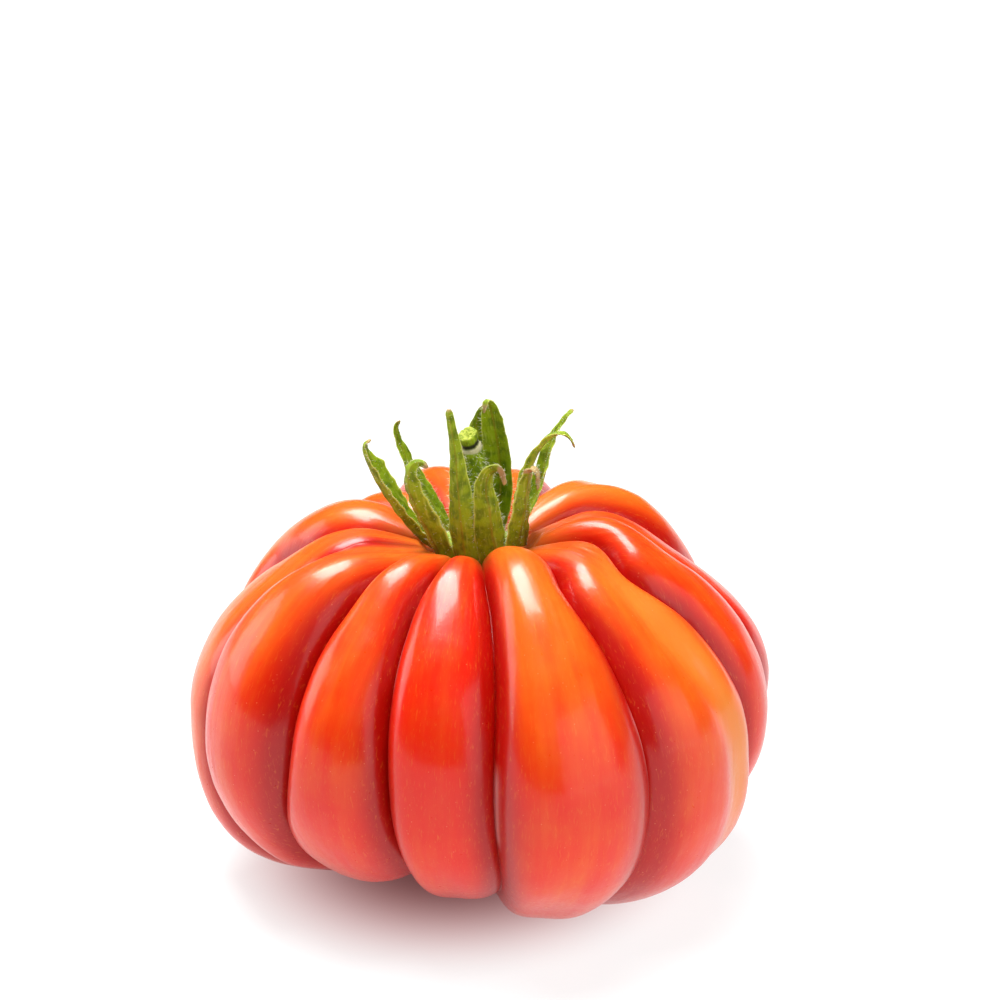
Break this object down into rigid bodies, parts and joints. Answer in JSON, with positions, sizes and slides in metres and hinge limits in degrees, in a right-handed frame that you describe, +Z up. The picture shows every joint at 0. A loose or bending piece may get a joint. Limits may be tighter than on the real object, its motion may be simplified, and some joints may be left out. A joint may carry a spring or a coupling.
{
  "type": "ribbed tomato",
  "caption": "Deeply ribbed tomato as picked, with a calyx of curling sepals and a cut stem stub, resting on the flattened undersides of its lobes.",
  "frame": {"origin": "bottom centre of the bounding box, on the surface that the fruit rests on", "axes": "+Z up along the stalk; -Y is the front, the side with the deep groove that faces the viewer; +X to the viewer's right"},
  "size_m": [0.0989, 0.0974, 0.0834],
  "materials": {
    "skin": "smooth glossy orange-red skin, deeper red in the grooves and orange on the crests near the stalk",
    "sepals": "hairy green leaf, dried to tan at the tips",
    "stem": "hairy dark green stem with a yellow-green cut end"
  },
  "bodies": {
    "root": {"fruit": "skin", "calyx": "sepals", "stem": "stem"}
  },
  "joints": []
}
